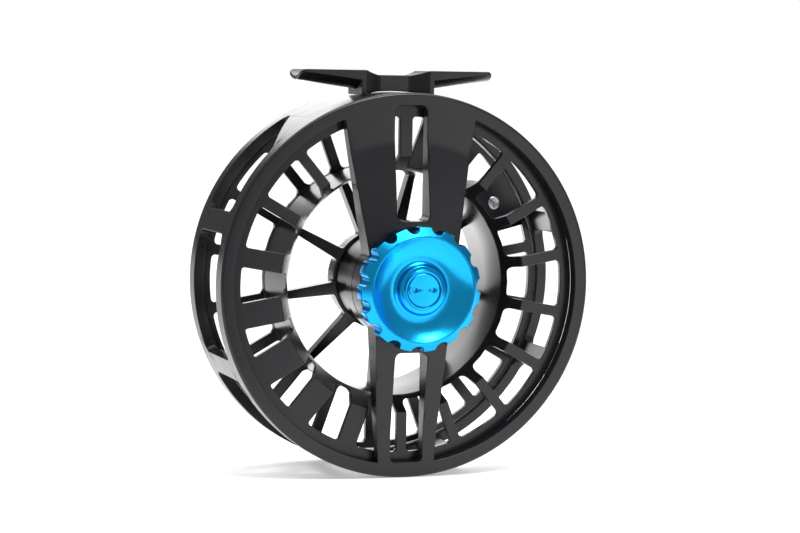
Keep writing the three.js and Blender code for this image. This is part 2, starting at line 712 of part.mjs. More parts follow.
// Spindle, bolted to the boss by its flange.
function addSpindle() {
  const flangeHole = rod(screwShank + 0.25, flangeFront - 1, flangeBack + 1, 12);
  const pinHole = rod(pinRadius + 0.25, flangeFront - 1, flangeBack + 1, 12);
  const endHole = spindleEnd - 6.5;
  addPiece("spindle", cut(turned([
    [0, flangeFront], [spindleFlange, flangeFront], [spindleFlange, flangeBack],
    [spindleRadius, flangeBack], [spindleRadius, spindleEnd], [1.45, spindleEnd],
    [1.45, endHole], [0, endHole],
  ], 24), [
    ...around(3, 90).map((angle) => placed(flangeHole, screwCircle, angle)),
    ...around(pinCount, 30).map((angle) => placed(pinHole, pinCircle, angle)),
  ]), steel);

  const headFront = flangeBack + fitGap;
  const headBack = headFront + screwHeadHeight;
  const screw = turned([
    [0, bossBack - 3.4], [screwShank, bossBack - 3.4], [screwShank, headFront],
    [screwHead, headFront], [screwHead, headBack], [0, headBack],
  ], 16).subtract(rod(0.9, headBack - 0.7, headBack + 1, 6));
  around(3, 90).forEach((angle, i) =>
    addPiece(`spindle_screw_${i + 1}`, placed(screw, screwCircle, angle), steel));

  const washerFront = spindleEnd + fitGap;
  const washerBack = washerFront + 0.6;
  addPiece("spindle_end_washer",
    tube(1.5, innerRaceOuter, washerFront, washerBack), steel);
  addPiece("spindle_end_screw", turned([
    [0, endHole + 0.5], [1.3, endHole + 0.5], [1.3, washerBack + fitGap],
    [3, washerBack + fitGap], [3, washerBack + 1.2], [0, washerBack + 1.2],
  ], 24).subtract(rod(1, washerBack + 0.6, washerBack + 2, 6)), steel);
}

// Two ball bearings between the spindle and the drive hub.
function addBearings() {
  const innerRaceBore = spindleRadius + fitGap;
  const ballCircle = (innerRaceOuter + outerRaceInner) / 2;
  ["front", "rear"].forEach((place, i) => {
    const front = bearingFronts[i];
    const back = front + bearingWidth;
    const middle = (front + back) / 2;
    const ball = solid(new THREE.SphereGeometry(ballRadius, 6, 4)).translate([0, middle, 0]);
    addPiece(`${place}_bearing_inner`, tube(innerRaceBore, innerRaceOuter, front, back), steel);
    addPiece(`${place}_bearing_outer`, tube(outerRaceInner, outerRaceOuter, front, back), steel);
    addPiece(`${place}_bearing_balls`, joined([
      tube(ballCircle - 0.4, ballCircle + 0.4, middle - 0.5, middle + 0.5),
      ...around(ballCount).map((angle) => placed(ball, ballCircle, angle)),
    ]), brass);
  });
}

// One-way clutch: rollers between the drag rotor and the drive hub.
function addClutch() {
  const front = coneFront + 0.6;
  const back = front + rollerLength + 2;
  const rollerFront = front + 1;
  const half = rollerRadius + fitGap;
  const pocket = block(
    rollerCircle - 2, rollerCircle + 2, -half, half,
    rollerFront - fitGap, rollerFront + rollerLength + fitGap,
  );
  addPiece("clutch_cage", cut(
    tube(rotorRadius + 0.35, hubBore - 0.35, front, back),
    around(rollerCount).map((angle) => spun(pocket, angle)),
  ), brass);
  const roller = rod(rollerRadius, rollerFront, rollerFront + rollerLength, 12);
  around(rollerCount).forEach((angle, i) =>
    addPiece(`clutch_roller_${i + 1}`, placed(roller, rollerCircle, angle), steel));
}

// Drive hub: the spool keys onto it and a snap ring holds it there.
function addHub() {
  const ringFront = hubBack - 1;
  const ringBack = ringFront + 0.5;
  const ringSeat = hubRadius - 0.6;
  const keyBack = ringFront - 0.4;
  const key = block(
    hubRadius - 0.4, hubRadius + keyHeight, -keyWidth / 2, keyWidth / 2,
    spoolHubFront + 4, keyBack,
  );
  addPiece("drive_hub", joined([
    turned([
      [hubBore, hubFront], [hubRadius, hubFront], [hubRadius, ringFront - fitGap],
      [ringSeat, ringFront - fitGap], [ringSeat, ringBack + fitGap],
      [hubRadius, ringBack + fitGap], [hubRadius, hubBack], [hubBore, hubBack],
    ]),
    ...around(keyCount).map((angle) => spun(key, angle)),
  ]), steel);
  addPiece("spool_snap_ring", openRing(
    ringSeat + fitGap, hubRadius + fitGap, ringFront, ringBack, 30,
  ), steel);
  const capFront = hubBack + fitGap;
  addPiece("hub_cap", turned([
    [0, capFront], [hubBore - 1.2, capFront], [hubBore - 1.2, hubBack - 2],
    [hubBore - fitGap, hubBack - 2], [hubBore - fitGap, capFront],
    [hubRadius - fitGap, capFront], [hubRadius - fitGap, capFront + capFlangeWall - 0.5],
    [hubRadius - 0.7, capFront + capFlangeWall], [0, capFront + capFlangeWall],
  ]).subtract(rod(2, capFront + 0.8, capFront + 3, 6)), blueAnodised);
  addPiece("hub_seal_ring", tube(
    hubRadius + fitGap, spindleFlange - 0.2, flangeBack + fitGap, spoolHubFront - 0.3,
  ), rubber);
}

addFrame();
addFoot();
addSpool();
addHandle();
addKnob();
addDragTrain();
addSpindle();
addBearings();
addClutch();
addHub();

export default reel;
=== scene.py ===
import json
import math
import bpy
import bmesh
import numpy as np
from mathutils import Matrix, Vector


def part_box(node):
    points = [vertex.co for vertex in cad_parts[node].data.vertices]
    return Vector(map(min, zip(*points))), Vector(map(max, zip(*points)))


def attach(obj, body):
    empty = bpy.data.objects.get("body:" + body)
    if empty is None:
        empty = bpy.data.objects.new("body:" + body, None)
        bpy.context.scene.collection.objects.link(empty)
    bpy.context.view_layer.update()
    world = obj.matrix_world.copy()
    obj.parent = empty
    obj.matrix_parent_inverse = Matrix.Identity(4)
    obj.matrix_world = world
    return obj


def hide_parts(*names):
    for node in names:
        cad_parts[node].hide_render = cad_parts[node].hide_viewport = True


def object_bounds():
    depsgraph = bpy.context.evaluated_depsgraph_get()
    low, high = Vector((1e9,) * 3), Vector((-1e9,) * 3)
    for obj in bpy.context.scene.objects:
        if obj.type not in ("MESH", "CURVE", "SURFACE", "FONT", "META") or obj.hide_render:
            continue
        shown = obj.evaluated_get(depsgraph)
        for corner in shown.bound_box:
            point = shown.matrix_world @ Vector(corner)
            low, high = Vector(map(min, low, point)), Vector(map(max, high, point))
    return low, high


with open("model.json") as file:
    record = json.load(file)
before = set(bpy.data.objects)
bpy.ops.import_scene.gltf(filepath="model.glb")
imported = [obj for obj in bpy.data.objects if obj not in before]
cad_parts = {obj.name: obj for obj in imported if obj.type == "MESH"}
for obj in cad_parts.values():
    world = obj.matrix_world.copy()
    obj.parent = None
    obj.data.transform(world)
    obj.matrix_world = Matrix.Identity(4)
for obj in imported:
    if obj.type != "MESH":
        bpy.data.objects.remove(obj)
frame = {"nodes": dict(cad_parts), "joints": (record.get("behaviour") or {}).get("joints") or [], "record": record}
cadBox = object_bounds()

# Pieces are drawn in millimetres about the spin axis: x and z lie across it, y runs from the front
# face of the ring towards the handle. axisPlace is that point in the row frame, in metres.
millimetre = 0.001
joints = {joint["name"]: joint for joint in frame["joints"]}
axisPlace = np.array(joints["hub_spin"]["pos_m"])
overshoot = 1.0  # how far a cutting tool reaches past what it cuts, or a multiple of it
sharpAngle = math.radians(30)  # an edge that turns by more than this is a real edge


# The lowest and highest corner of a CAD node, in millimetres about the spin axis.
def span(node):
    return [(np.array(corner) - axisPlace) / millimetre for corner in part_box(node)]


frameRadius = span("frame_face")[1][0]
frameWidth = span("frame_cage")[1][1]
bossFace = span("frame_face")[0][1]
bossBack = span("frame_face")[1][1]
seatHeight = -axisPlace[2] / millimetre
footMiddle = -axisPlace[1] / millimetre


# Points on a circle: radius times the cosine and the sine of each angle, as rows of [x, z].
def onCircle(radius, degrees):
    turn = np.radians(np.atleast_1d(degrees))
    return np.column_stack([radius * np.cos(turn), radius * np.sin(turn)])


# An outline whose corners are rounded: each corner becomes the arc that touches both its sides,
# found by turning the first touching point about the arc's centre towards the second.
def rounded(corners, radius, steps=6):
    largestShare = 0.48  # of the shorter side, so that two arcs never meet
    corners = np.asarray(corners, float)
    radii = np.broadcast_to(np.asarray(radius, float), len(corners))
    before = np.roll(corners, 1, axis=0) - corners
    after = np.roll(corners, -1, axis=0) - corners
    room = np.minimum(np.linalg.norm(before, axis=1), np.linalg.norm(after, axis=1))
    room *= largestShare
    before /= np.linalg.norm(before, axis=1)[:, None]
    after /= np.linalg.norm(after, axis=1)[:, None]
    half = np.arccos(np.clip((before * after).sum(1), -1, 1)) / 2
    reach = np.minimum(radii / np.tan(half), room)
    middle = before + after
    middle /= np.maximum(np.linalg.norm(middle, axis=1), 1e-9)[:, None]
    centre = corners + middle * (reach / np.cos(half))[:, None]
    start = corners + before * reach[:, None] - centre
    end = corners + after * reach[:, None] - centre
    sweep = np.maximum(np.pi - 2 * half, 1e-6)
    part = np.linspace(0, 1, steps + 1)
    near = np.sin((1 - part) * sweep[:, None]) / np.sin(sweep)[:, None]
    far = np.sin(part * sweep[:, None]) / np.sin(sweep)[:, None]
    arcs = centre[:, None] + near[..., None] * start[:, None] + far[..., None] * end[:, None]
    points = arcs.reshape(-1, 2)
    return points[np.linalg.norm(points - np.roll(points, 1, axis=0), axis=1) > 1e-4]


# A smooth line through the given points: on each stretch a cubic whose slope at a point is half
# the step from the point before it to the point after it.
def smoothLine(points, steps=8):
    points = np.asarray(points, float)
    padded = np.vstack([2 * points[0] - points[1], points, 2 * points[-1] - points[-2]])
    p0, p1, p2, p3 = padded[:-3], padded[1:-2], padded[2:-1], padded[3:]
    t = np.linspace(0, 1, steps, endpoint=False)[None, :, None]
    p0, p1, p2, p3 = (p[:, None] for p in (p0, p1, p2, p3))
    line = 0.5 * (2 * p1 + (p2 - p0) * t + (2 * p0 - 5 * p1 + 4 * p2 - p3) * t ** 2
                  + (3 * p1 - p0 - 3 * p2 + p3) * t ** 3)
    return np.vstack([line.reshape(-1, 2), points[-1]])


# A turned shape: every [radius, y] point of a closed profile at every angle of the circle,
# at x = radius cos(angle) and z = radius sin(angle).
def lathe(profile, segments=96, centre=(0, 0)):
    profile = np.asarray(profile, float)
    rows, angles = len(profile), np.arange(segments) * 2 * np.pi / segments
    radius, y = profile[:, 0][:, None], profile[:, 1][:, None]
    grid = np.stack([centre[0] + radius * np.cos(angles), y + 0 * angles,
                     centre[1] + radius * np.sin(angles)], axis=-1)
    row, column = np.meshgrid(np.arange(rows), np.arange(segments), indexing="ij")
    nextRow, nextColumn = (row + 1) % rows, (column + 1) % segments
    corners = [row * segments + column, nextRow * segments + column,
               nextRow * segments + nextColumn, row * segments + nextColumn]
    return grid.reshape(-1, 3), np.stack(corners, axis=-1).reshape(-1, 4).tolist()


# A plate: the [x, z] outline at y = front and again at y = back, joined by a band of faces. The
# outline is put in one order first, by the sign of its area: half the sum of x times the next z
# less the next x times z.
def prism(outline, front, back):
    count = len(outline)
    nextCorner = np.roll(outline, -1, axis=0)
    if (outline[:, 0] * nextCorner[:, 1] - nextCorner[:, 0] * outline[:, 1]).sum() < 0:
        outline = outline[::-1]
    ends = [np.column_stack([outline[:, 0], np.full(count, y), outline[:, 1]])
            for y in (front, back)]
    side = np.arange(count)
    following = np.roll(side, -1)
    band = np.column_stack([side, following, following + count, side + count])
    return np.vstack(ends), [side[::-1].tolist(), (side + count).tolist()] + band.tolist()


# A round bar along y: a rectangle from the axis out to the radius, turned about the axis.
def cylinder(radius, front, back, centre=(0, 0), segments=48):
    return lathe([[0, front], [radius, front], [radius, back], [0, back]], segments, centre)


# A block: the rectangle from x0 to x1 and z0 to z1, drawn out from front to back.
def slab(x0, x1, z0, z1, front, back):
    return prism(np.array([[x0, z0], [x1, z0], [x1, z1], [x0, z1]], float), front, back)


# Copies of a shape turned about the spin axis: x' = x cos(a) - z sin(a), z' = x sin(a) + z cos(a).
def turnedCopies(shape, degrees):
    points, faces = shape
    turn = np.radians(np.asarray(degrees, float))[:, None]
    x, y, z = points.T
    copies = np.stack([x * np.cos(turn) - z * np.sin(turn), y + 0 * turn,
                       x * np.sin(turn) + z * np.cos(turn)], axis=-1)
    shifted = [[corner + k * len(points) for corner in face]
               for k in range(len(turn)) for face in faces]
    return copies.reshape(-1, 3), shifted


# Several shapes as one list of points and faces.
def together(*shapes):
    offsets = np.cumsum([0] + [len(points) for points, _ in shapes[:-1]])
    faces = [[corner + offset for corner in face]
             for offset, (_, group) in zip(offsets.tolist(), shapes) for face in group]
    return np.vstack([points for points, _ in shapes]), faces


# The [x, z] outline of a port between two radial bars. Its sides lie parallel to the bars, half a
# bar from each bar's middle line, so at radius r they stand asin(half bar / r) away from it.
def portOutline(inner, outer, angles, bars, corner, steps=6):
    outerPoints, innerPoints = 7, 3

    def arc(radius, count):
        lean = np.degrees(np.arcsin(np.array(bars) / 2 / radius))
        return onCircle(radius, np.linspace(angles[0] + lean[0], angles[1] - lean[1], count))

    corners = np.vstack([arc(outer, outerPoints), arc(inner, innerPoints)[::-1]])
    radii = np.zeros(len(corners))
    radii[[0, outerPoints - 1, outerPoints, outerPoints + innerPoints - 1]] = corner
    return rounded(corners, radii, steps)


# An outline of [angle, y] corners on the unrolled band, bent round the axis: a flat length s along
# the band becomes the angle s / radius, at an inner and an outer radius. Sides that run round the
# band are divided, so that no stretch is longer than the finest one asked for.
def bentCutter(corners, radius, corner, inner, outer, stretch=1.5):
    flat = np.array(corners, float) * [np.radians(1) * radius, 1]
    line = rounded(flat, corner)
    following = np.roll(line, -1, axis=0)
    pieces = np.maximum(1, np.ceil(np.abs(following - line)[:, 0] / stretch)).astype(int)
    index = np.repeat(np.arange(len(line)), pieces)
    share = (np.arange(len(index)) - np.repeat(np.cumsum(pieces) - pieces, pieces)) / pieces[index]
    fine = line[index] + (following - line)[index] * share[:, None]
    points, faces = prism(fine, inner, outer)
    turn, reach, y = points[:, 0] / radius, points[:, 1], points[:, 2]
    return np.column_stack([reach * np.cos(turn), y, reach * np.sin(turn)]), faces


# A shape as a Blender object, with its place in its mesh: metres = axisPlace + 0.001 millimetres.
# Points that coincide are joined, and a shape that came out inside out is turned.
def addPiece(name, shape):
    coincide = 0.0002 * millimetre
    points, faces = shape
    mesh = bpy.data.meshes.new(name)
    mesh.from_pydata((points * millimetre + axisPlace).tolist(), [], faces)
    work = bmesh.new()
    work.from_mesh(mesh)
    bmesh.ops.remove_doubles(work, verts=work.verts, dist=coincide)
    if work.calc_volume(signed=True) < 0:
        bmesh.ops.reverse_faces(work, faces=work.faces)
    work.to_mesh(mesh)
    work.free()
    piece = bpy.data.objects.new(name, mesh)
    bpy.context.scene.collection.objects.link(piece)
    return piece


# Joins a piece and a tool object, cuts the piece with it or keeps what they share. The result goes
# into the piece's own mesh, and the tool goes.
def applyTool(piece, tool, operation):
    step = piece.modifiers.new(operation, "BOOLEAN")
    step.operation, step.solver, step.object = operation, "EXACT", tool
    graph = bpy.context.evaluated_depsgraph_get()
    result = bpy.data.meshes.new_from_object(piece.evaluated_get(graph))
    piece.modifiers.clear()
    oldMesh, piece.data = piece.data, result
    result.name = piece.name
    bpy.data.meshes.remove(oldMesh)
    bpy.data.objects.remove(tool)


# The same with a shape as the tool, which becomes a piece for the while.
def combine(piece, shape, operation):
    applyTool(piece, addPiece(piece.name + " tool", shape), operation)


# The last steps of every piece: near points joined, a fine bevel on every edge sharper than 30
# degrees, smooth shading, and its body, finish and CAD nodes.
def finish(piece, body, material, nodes, bevel, bevelSegments=2):
    near = 0.004 * millimetre
    work = bmesh.new()
    work.from_mesh(piece.data)
    bmesh.ops.remove_doubles(work, verts=work.verts, dist=near)
    bmesh.ops.dissolve_degenerate(work, edges=work.edges, dist=near)
    work.to_mesh(piece.data)
    work.free()
    piece.data.shade_smooth()
    edges = piece.modifiers.new("Edge", "BEVEL")
    edges.width, edges.segments = bevel * millimetre, bevelSegments
    edges.limit_method, edges.angle_limit = "ANGLE", sharpAngle
    edges.use_clamp_overlap = False
    edges.miter_outer = "MITER_SHARP"
    shading = piece.modifiers.new("Shading", "WEIGHTED_NORMAL")
    shading.mode, shading.weight, shading.keep_sharp = "FACE_AREA", 60, True
    piece.data.materials.clear()
    piece.data.materials.append(material)
    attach(piece, body)
    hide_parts(*nodes)


# What a look has unless it says otherwise, and what all looks share. Depths are in millimetres.
plainLook = {"ior": 1.5, "edge": (1, 1, 1), "coat": 0.0, "coatRoughness": 0.2}
surface = {"noiseRange": (0.3, 0.7), "finerNoise": 3.1, "grainDepth": 0.01,
           "turningDepth": 0.004, "turningWaver": 0.6, "turningDetail": 1.0}


# A node material: colour mottled between two close tones by a fine noise, roughness varied by a
# second noise, and bumps from the blasted grain and, where it is turned, from rings about an axis.
def makeMaterial(name, look):
    look = {**plainLook, **look}
    material = bpy.data.materials.new(name)
    material.use_nodes = True
    nodes, links = material.node_tree.nodes, material.node_tree.links
    shader = nodes["Principled BSDF"]
    shader.inputs["Metallic"].default_value = look["metallic"]
    shader.inputs["IOR"].default_value = look["ior"]
    shader.inputs["Specular Tint"].default_value = (*look["edge"], 1)
    shader.inputs["Coat Weight"].default_value = look["coat"]
    shader.inputs["Coat Roughness"].default_value = look["coatRoughness"]
    place = nodes.new("ShaderNodeTexCoord")

    def noise(scale, detail):
        texture = nodes.new("ShaderNodeTexNoise")
        texture.inputs["Scale"].default_value = scale
        texture.inputs["Detail"].default_value = detail
        links.new(place.outputs["Object"], texture.inputs["Vector"])
        return texture.outputs["Fac"]

    def spread(source, low, high):
        remap = nodes.new("ShaderNodeMapRange")
        values = {"From Min": surface["noiseRange"][0], "From Max": surface["noiseRange"][1],
                  "To Min": low, "To Max": high}
        for socket, value in values.items():
            remap.inputs[socket].default_value = value
        links.new(source, remap.inputs["Value"])
        return remap.outputs["Result"]

    tones = nodes.new("ShaderNodeMix")
    tones.data_type = "RGBA"
    tones.inputs["A"].default_value = (*look["dark"], 1)
    tones.inputs["B"].default_value = (*look["light"], 1)
    links.new(spread(noise(look["mottle"], 5), 0, 1), tones.inputs["Factor"])
    links.new(tones.outputs["Result"], shader.inputs["Base Color"])
    links.new(spread(noise(look["mottle"] * surface["finerNoise"], 3), *look["roughness"]),
              shader.inputs["Roughness"])
    grain = nodes.new("ShaderNodeBump")
    grain.inputs["Strength"].default_value = look["grainStrength"]
    grain.inputs["Distance"].default_value = surface["grainDepth"] * millimetre
    links.new(noise(look["grain"], 2), grain.inputs["Height"])
    links.new(grain.outputs["Normal"], shader.inputs["Normal"])
    if "turning" in look:  # tool marks: rings about the line through look["centre"]
        centred = nodes.new("ShaderNodeMapping")
        centred.vector_type = "POINT"
        centred.inputs["Location"].default_value = [-value for value in look["centre"]]
        centred.inputs["Scale"].default_value = (1, 0, 1)
        links.new(place.outputs["Object"], centred.inputs["Vector"])
        rings = nodes.new("ShaderNodeTexWave")
        rings.wave_type, rings.rings_direction = "RINGS", "SPHERICAL"
        rings.inputs["Scale"].default_value = look["turning"]
        rings.inputs["Distortion"].default_value = surface["turningWaver"]
        rings.inputs["Detail"].default_value = surface["turningDetail"]
        links.new(centred.outputs["Vector"], rings.inputs["Vector"])
        marks = nodes.new("ShaderNodeBump")
        marks.inputs["Strength"].default_value = look["turningStrength"]
        marks.inputs["Distance"].default_value = surface["turningDepth"] * millimetre
        links.new(rings.outputs["Fac"], marks.inputs["Height"])
        links.new(grain.outputs["Normal"], marks.inputs["Normal"])
        links.new(marks.outputs["Normal"], shader.inputs["Normal"])
    return material


axisCentre = (float(axisPlace[0]), 0.0, float(axisPlace[2]))
looks = {
    "satinBlack": {"dark": (0.0088, 0.0078, 0.0096), "light": (0.0118, 0.0104, 0.0128),
                   "metallic": 0.0, "ior": 1.42, "roughness": (0.23, 0.27), "mottle": 40,
                   "grain": 9000, "grainStrength": 0.2},
    "brightBlue": {"dark": (0.002, 0.36, 0.74), "light": (0.004, 0.41, 0.82), "metallic": 1.0,
                   "edge": (0.25, 0.62, 1.0), "coat": 0.22,
                   "roughness": (0.2, 0.26), "mottle": 60, "grain": 8000, "grainStrength": 0.15,
                   "turning": 900, "turningStrength": 0.25, "centre": axisCentre},
    "turnedSteel": {"dark": (0.52, 0.53, 0.55), "light": (0.66, 0.67, 0.69), "metallic": 1.0,
                    "roughness": (0.22, 0.34), "mottle": 160, "grain": 9000,
                    "grainStrength": 0.15, "turning": 1200, "turningStrength": 0.3,
                    "centre": axisCentre},
    "turnedBrass": {"dark": (0.60, 0.43, 0.19), "light": (0.74, 0.56, 0.27), "metallic": 1.0,
                    "roughness": (0.25, 0.4), "mottle": 150, "grain": 9000,
                    "grainStrength": 0.15},
    "blackRubber": {"dark": (0.012, 0.012, 0.012), "light": (0.02, 0.02, 0.021),
                    "metallic": 0.0, "roughness": (0.6, 0.75), "mottle": 200, "grain": 5000,
                    "grainStrength": 0.3},
    "dragPolymer": {"dark": (0.045, 0.048, 0.05), "light": (0.07, 0.074, 0.078),
                    "metallic": 0.0, "roughness": (0.5, 0.62), "mottle": 260, "grain": 5000,
                    "grainStrength": 0.3},
    "handlePolymer": {"dark": (0.014, 0.014, 0.0155), "light": (0.022, 0.022, 0.024),
                      "metallic": 0.0, "roughness": (0.42, 0.55), "mottle": 150, "grain": 3500,
                      "grainStrength": 0.35},
}
materials = {name: makeMaterial(name, look) for name, look in looks.items()}
print("materials:", len(materials))

# Every CAD node takes the finish of its slot, so the ones that stay in sight have it.
slotFinishes = {"anodised_black": "satinBlack", "anodised_blue": "brightBlue",
                "steel": "turnedSteel", "brass": "turnedBrass", "rubber": "blackRubber",
                "drag_polymer": "dragPolymer", "handle_polymer": "handlePolymer"}
for subpart in frame["record"]["subparts"]:
    slots = frame["nodes"][subpart["node"]].data.materials
    slots.clear()
    slots.append(materials[slotFinishes[subpart["material_slot"]]])

frameSizes = {
    "bandWall": 2.8, "backRingWall": 3.3, "faceRingWidth": 4.0, "faceThickness": 3.9,
    "edgeChamfer": 0.6, "frontStrip": 6.7, "backStrip": 6.1, "windowCorner": 2.5,
    "windowReach": (0.86, 1.16),  # how far in and out its cutter goes, as shares of the radius
    "strutAngles": (19, -26, -71), "strutWidth": 6.9, "shoulderAngles": (45, 62),
    "taperWidth": 13.0, "armStart": 4.0, "armRootHeight": 10.0, "armTipInset": 5.0,
    "upperArm": (13.7, 20.7), "lowerArm": (11.6, 8.8),  # half widths near the boss and at the ring
    "slotWidth": 10.0, "slotCorner": 1.8, "slotInset": 2.9, "slotMargins": (3.7, 4.5),
    "bossRadius": 16.5, "bossRelief": 0.15, "bossWall": 2.3, "dragBore": 8.0,
    "keyway": (9.45, 2.15), "keywayStep": 0.01, "shaftHole": 3.2,
    "clickCircle": 11.0, "clickHole": 1.45, "clickDepth": 6.8,
    "screwCircle": 10.65, "screwHole": 1.25, "screwDepth": 3.8, "screwAngles": [90, 210, 330],
    "footScrewSpacing": 16.0, "footScrewHole": 1.65, "footScrewHead": 3.05,
    "footScrewSeat": 1.1, "countersink": 0.15, "bevel": 0.22,
}


# One turned solid with the ring, the cage and the boss, whose face slopes evenly from the boss's
# front out to the ring's. All that isn't ring, arm, strut or boss is cut out of it.
def buildFrame(s):
    ringInner = frameRadius - s["faceRingWidth"]
    bandInner = frameRadius - s["bandWall"]
    backInner = frameRadius - s["backRingWall"]
    backRing = frameWidth - s["backStrip"]
    chamfer = s["edgeChamfer"]
    bossWaist = s["bossRadius"] - s["bossRelief"]
    slope = np.linspace([s["bossRadius"], bossFace], [frameRadius - s["taperWidth"], 0], 12)
    piece = addPiece("reelFrame", lathe([
        [0, bossFace], *slope.tolist(), [frameRadius - chamfer, 0], [frameRadius, chamfer],
        [frameRadius, frameWidth - chamfer], [frameRadius - chamfer, frameWidth],
        [backInner, frameWidth], [backInner, backRing], [bandInner, backRing],
        [bandInner, s["faceThickness"]], [bossWaist, s["faceThickness"]],
        [bossWaist, bossBack], [0, bossBack],
    ], 240))
    # the face opens between the boss and the ring, all but the two arms
    tip = frameRadius - s["armTipInset"]

    def arm(halfWidths, side):
        root, end = halfWidths
        return prism(np.array([
            [-root, side * s["armStart"]], [root, side * s["armStart"]],
            [root, side * s["armRootHeight"]], [end, side * tip], [end, side * frameRadius],
            [-end, side * frameRadius], [-end, side * tip], [-root, side * s["armRootHeight"]],
        ]), bossFace - 3 * overshoot, s["faceThickness"] + 3 * overshoot)

    openingFront, openingBack = bossFace - 2 * overshoot, s["faceThickness"] + 2 * overshoot
    opening = addPiece("faceOpening", lathe([
        [s["bossRadius"], openingFront], [ringInner, openingFront],
        [ringInner, openingBack], [s["bossRadius"], openingBack]], 240))
    combine(opening, together(arm(s["upperArm"], 1), arm(s["lowerArm"], -1)), "DIFFERENCE")
    applyTool(piece, opening, "DIFFERENCE")
    # slots in the arms
    half, start = s["slotWidth"] / 2, s["bossRadius"] + s["slotInset"]
    slots = [prism(rounded([[-half, side * start], [half, side * start],
                            [half, side * (frameRadius - margin)],
                            [-half, side * (frameRadius - margin)]], s["slotCorner"], 8),
                   bossFace - overshoot, s["faceThickness"] + overshoot)
             for side, margin in zip((1, -1), s["slotMargins"])]
    combine(piece, together(*slots), "DIFFERENCE")
    # windows in the cage band: [angle, y] corners on the right, mirrored to the left
    front, back = s["frontStrip"], backRing
    halfStrut = math.degrees(s["strutWidth"] / 2 / frameRadius)
    upper, middle, lower = s["strutAngles"]
    right = [[[upper + halfStrut, front], [s["shoulderAngles"][0], front],
              [s["shoulderAngles"][1], back], [upper + halfStrut, back]]]
    right += [[[low + halfStrut, front], [high - halfStrut, front],
               [high - halfStrut, back], [low + halfStrut, back]]
              for low, high in ((middle, upper), (lower, middle))]
    left = [[[180 - angle, y] for angle, y in corners] for corners in right]
    bottom = [[-180 - lower + halfStrut, front], [lower - halfStrut, front],
              [lower - halfStrut, back], [-180 - lower + halfStrut, back]]
    windows = [bentCutter(corners, frameRadius, s["windowCorner"],
                          frameRadius * s["windowReach"][0], frameRadius * s["windowReach"][1])
               for corners in right + left + [bottom]]
    combine(piece, together(*windows), "DIFFERENCE")
    # the boss's bore and its holes
    boreFloor = bossFace + s["bossWall"]
    combine(piece, cylinder(s["dragBore"], boreFloor, bossBack + overshoot), "DIFFERENCE")
    keyReach, keyHalf = s["keyway"]
    combine(piece, slab(-keyReach, keyReach, -keyHalf, keyHalf,
                        boreFloor + s["keywayStep"], bossBack + 2 * overshoot), "DIFFERENCE")
    holes = turnedCopies(cylinder(s["screwHole"], bossBack - s["screwDepth"],
                                  bossBack + 3 * overshoot, (s["screwCircle"], 0), 24),
                         s["screwAngles"])
    click = cylinder(s["clickHole"], bossFace - 2 * overshoot, bossFace + s["clickDepth"],
                     (0, -s["clickCircle"]), 24)
    shaft = cylinder(s["shaftHole"], bossFace - 2 * overshoot, boreFloor + overshoot)
    combine(piece, together(holes, click, shaft), "DIFFERENCE")
    # countersunk holes for the foot's screws, drawn about y and then stood up along z
    neck = bandInner + s["footScrewSeat"]
    x = s["footScrewSpacing"] / 2
    points, faces = lathe([
        [0, bandInner - 3 * overshoot], [s["footScrewHead"], bandInner - 3 * overshoot],
        [s["footScrewHead"], bandInner - s["countersink"]],
        [s["footScrewHole"], neck + s["countersink"]],
        [s["footScrewHole"], frameRadius + 2 * overshoot], [0, frameRadius + 2 * overshoot]], 32)
    standing = np.column_stack([points[:, 0], footMiddle - points[:, 2], points[:, 1]])
    combine(piece, together((standing + [x, 0, 0], faces), (standing - [x, 0, 0], faces)),
            "DIFFERENCE")
    finish(piece, "frame", materials["satinBlack"],
           ["frame_face", "frame_cage"], s["bevel"])


buildFrame(frameSizes)
print("frame built")

footSizes = {
    "length": 60.4, "width": 14.0, "seatRadius": 13.25, "undersideRadius": 11.0,
    "tipWall": 1.3, "rootWall": 3.7, "tipCorner": 2.0, "waistWidth": 7.2, "waistHalf": 4.9,
    "waistCorner": 2.5, "flareHalf": 9.8, "flareCorner": 1.2, "riserHalf": 11.4,
    "rootDepth": 8.0, "edgeHeight": 2.05, "gap": 0.3, "bevel": 0.3,
}


